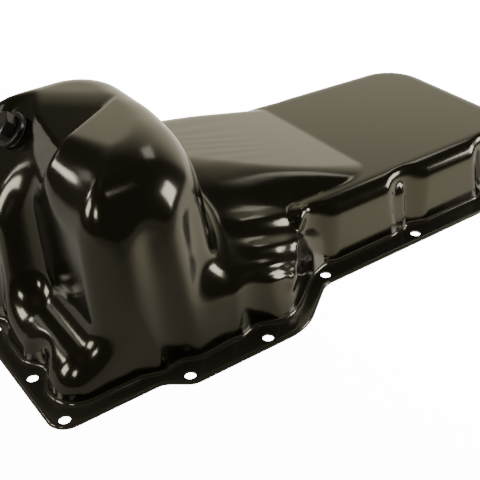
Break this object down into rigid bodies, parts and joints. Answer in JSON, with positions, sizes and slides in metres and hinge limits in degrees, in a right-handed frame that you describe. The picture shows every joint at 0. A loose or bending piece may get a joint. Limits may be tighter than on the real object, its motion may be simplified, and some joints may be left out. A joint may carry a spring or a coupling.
{
  "type": "engine oil pan",
  "caption": "Pressed sheet steel oil pan with a deep sump at one end, a ramp to a shallow floor, a bolted flange and a tilted drain plug.",
  "frame": {"origin": "centre of the bounding box at the level of the rolled flange edge that the pan stands on", "axes": "+X along the length from the sump to the shallow end, +Y from the stepped rail to the straight rail, +Z from the flange to the sump's floor, so the pan stands upside down as on a bench"},
  "size_m": [0.494, 0.2556, 0.1477],
  "materials": {
    "black_paint": "glossy black dip paint on deep-drawn steel",
    "boss_steel": "turned steel, black from the paint bath outside",
    "seal_ring": "plain flat sealing ring",
    "plug_steel": "turned hexagon steel, blackened"
  },
  "bodies": {
    "pan": {"pan_body": "black_paint", "drain_boss": "boss_steel"},
    "seal": {"drain_plug_gasket": "seal_ring"},
    "plug": {"drain_plug": "plug_steel"}
  },
  "joints": [
    {"name": "plug_travel", "type": "slide", "parent": "pan", "child": "seal", "axis": [-0.7071, 0, 0.7071], "range_m": [0, 0.022]},
    {"name": "plug_turn", "type": "hinge", "parent": "seal", "child": "plug", "pos_m": [-0.185, 0.0378, 0.1315], "axis": [-0.7071, 0, 0.7071], "range_deg": [0, 5280]}
  ],
  "couplings": [
    {"joint": "plug_turn", "follows": "plug_travel", "rad_per_m": 4188.8}
  ]
}
